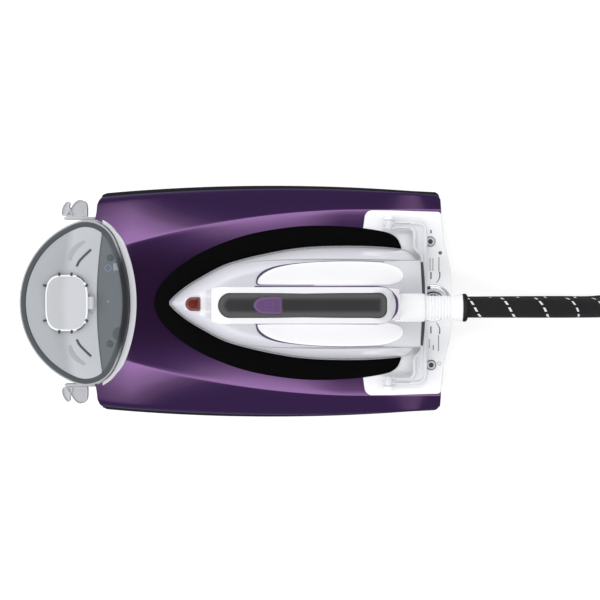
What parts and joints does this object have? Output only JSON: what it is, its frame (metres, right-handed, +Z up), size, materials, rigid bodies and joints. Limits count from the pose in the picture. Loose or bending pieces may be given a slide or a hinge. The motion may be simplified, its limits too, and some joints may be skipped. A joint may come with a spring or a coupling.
{
  "type": "steam generator iron",
  "caption": "Steam generator iron: base with boiler, lift-off water tank and control deck, and a white iron with a purple trigger on a braided steam hose.",
  "frame": {"origin": "centre of the bounding box on the table, without the steam hose", "axes": "+X from the water tank to the control deck and hose, +Y to the left side, +Z up"},
  "size_m": [0.972, 0.244, 0.25],
  "materials": {
    "dark_skirt": "satin",
    "purple_shell": "metallic gloss",
    "white_gloss": "gloss",
    "light_grey": "satin",
    "dark_plastic": "satin",
    "pad_black": "satin",
    "rubber": "matte",
    "steel": "brushed",
    "aluminium": "satin",
    "brass": "machined",
    "board_green": "satin",
    "chrome": "polished",
    "smoky_clear": "clear",
    "smoky_dark": "clear",
    "lid_clear": "satin",
    "button_purple": "satin",
    "lamp_red": "gloss",
    "grip_grey": "satin",
    "hose_braid": "woven",
    "boot_white": "satin"
  },
  "bodies": {
    "station": {"base_tray": "dark_skirt", "rubber_feet": "rubber", "base_screws": "steel", "top_shell": "purple_shell", "rear_panel": "dark_plastic", "tank_cradle": "light_grey", "hose_clip_left": "white_gloss", "hose_clip_right": "white_gloss", "control_deck": "white_gloss", "rest_pad": "pad_black", "boiler_shell": "steel", "boiler_heater": "steel", "boiler_straps": "steel", "pump": "light_grey", "solenoid_valve": "dark_plastic", "safety_valve": "brass", "pressure_switch": "light_grey", "water_pipe": "light_grey", "steam_pipe": "steel", "control_board": "board_green", "valve_seat": "dark_plastic", "mains_gland": "dark_plastic", "hose_gland": "dark_plastic", "hoop_pins": "steel", "hose_run": "hose_braid", "hose_coil": "hose_braid", "hose_return": "hose_braid"},
    "tank": {"tank_shell": "smoky_clear", "tank_cover": "smoky_dark", "tank_valve": "dark_plastic", "tank_spring": "steel", "lid_pin": "steel"},
    "iron": {"soleplate": "aluminium", "sole_trim": "aluminium", "iron_casing": "white_gloss", "steam_chamber": "aluminium", "iron_heater": "steel", "thermostat": "brass", "handle_shell": "white_gloss", "grip_strip": "grip_grey", "trim_line": "button_purple", "lamp_lens": "lamp_red", "micro_switch": "dark_plastic", "trigger_spring": "steel", "heel_cover": "white_gloss", "hose_boot": "boot_white", "boot_collar": "rubber"},
    "rinse_cap": {"rinse_cap": "dark_plastic"},
    "lock_hoop": {"lock_hoop": "white_gloss"},
    "steam_dial": {"steam_dial": "chrome"},
    "power_button": {"power_button": "light_grey"},
    "eco_button": {"eco_button": "light_grey"},
    "fill_lid": {"fill_lid": "lid_clear"},
    "steam_button": {"steam_button": "button_purple"}
  },
  "joints": [
    {"name": "iron_lift", "type": "slide", "parent": "station", "child": "iron", "axis": [0, 0, 1], "range_m": [0, 0.15]},
    {"name": "tank_lift", "type": "slide", "parent": "station", "child": "tank", "axis": [0, 0, 1], "range_m": [0, 0.13]},
    {"name": "fill_lid_hinge", "type": "hinge", "parent": "tank", "child": "fill_lid", "pos_m": [-0.147, 0, 0.1244], "axis": [0, 1, 0], "range_deg": [0, 100]},
    {"name": "lock_hoop_hinge", "type": "hinge", "parent": "station", "child": "lock_hoop", "pos_m": [0.157, 0, 0.1218], "axis": [0, -1, 0], "range_deg": [0, 40]},
    {"name": "steam_dial_turn", "type": "hinge", "parent": "station", "child": "steam_dial", "pos_m": [0.203, 0, 0.113], "axis": [0, 0, 1], "range_deg": [-135, 135]},
    {"name": "power_button_press", "type": "slide", "parent": "station", "child": "power_button", "axis": [0, 0, -1], "range_m": [0, 0.0015], "stiffness_N_per_m": 800},
    {"name": "eco_button_press", "type": "slide", "parent": "station", "child": "eco_button", "axis": [0, 0, -1], "range_m": [0, 0.0015], "stiffness_N_per_m": 800},
    {"name": "steam_button_press", "type": "slide", "parent": "iron", "child": "steam_button", "axis": [0, 0, -1], "range_m": [0, 0.003], "stiffness_N_per_m": 700, "deforming": ["trigger_spring"]},
    {"name": "rinse_cap_turn", "type": "hinge", "parent": "station", "child": "rinse_cap", "pos_m": [0.065, 0, 0.005], "axis": [0, 0, 1], "range_deg": [0, 90]}
  ]
}
